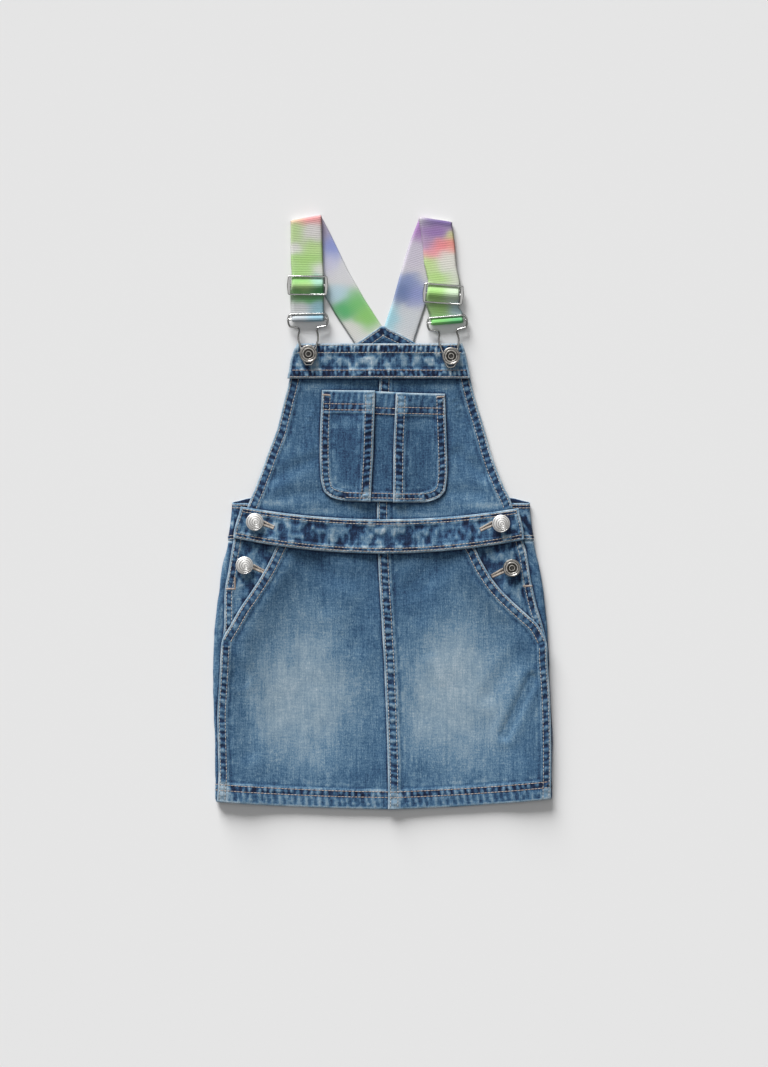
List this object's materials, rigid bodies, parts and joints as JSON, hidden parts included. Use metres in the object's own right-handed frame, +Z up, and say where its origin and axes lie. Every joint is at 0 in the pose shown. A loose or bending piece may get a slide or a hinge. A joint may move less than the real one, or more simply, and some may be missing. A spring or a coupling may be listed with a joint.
{
  "type": "dungaree dress",
  "caption": "Child's denim dungaree dress laid flat: bib with a seamed pocket, short skirt, webbing straps with sliders, wire hooks and tack buttons.",
  "frame": {"origin": "middle of the dress's outline, on the surface that it lies on", "axes": "+Z up from the surface, +Y from the hem to the straps, +X to the right as seen from above with the straps at the top"},
  "size_m": [0.3061, 0.5364, 0.0161],
  "materials": {
    "denim": "washed cotton twill with worn, lighter edges",
    "denim_dark": "washed cotton twill, less worn",
    "webbing": "ribbed elastic webbing, dyed in soft patches",
    "hardware": "polished nickel-plated steel",
    "bright_button": "bright plated steel with turned rings",
    "dark_button": "aged plated steel with turned rings"
  },
  "bodies": {
    "root": {"back_bib": "denim_dark", "back_skirt": "denim", "back_waistband": "denim_dark", "bib_band": "denim_dark", "bib_left": "denim", "bib_right": "denim", "bib_pocket_centre": "denim", "bib_pocket_left": "denim", "bib_pocket_right": "denim", "front_skirt_left": "denim", "front_skirt_right": "denim", "front_waistband": "denim_dark", "hip_panel_left": "denim_dark", "hip_panel_right": "denim_dark", "strap_left": "webbing", "strap_right": "webbing", "slider_left": "hardware", "slider_right": "hardware", "hook_left": "hardware", "hook_right": "hardware", "button_waist_left": "bright_button", "button_waist_right": "bright_button", "button_hip_left": "bright_button", "button_hip_right": "dark_button", "button_bib_left": "dark_button", "button_bib_right": "dark_button"}
  },
  "joints": []
}
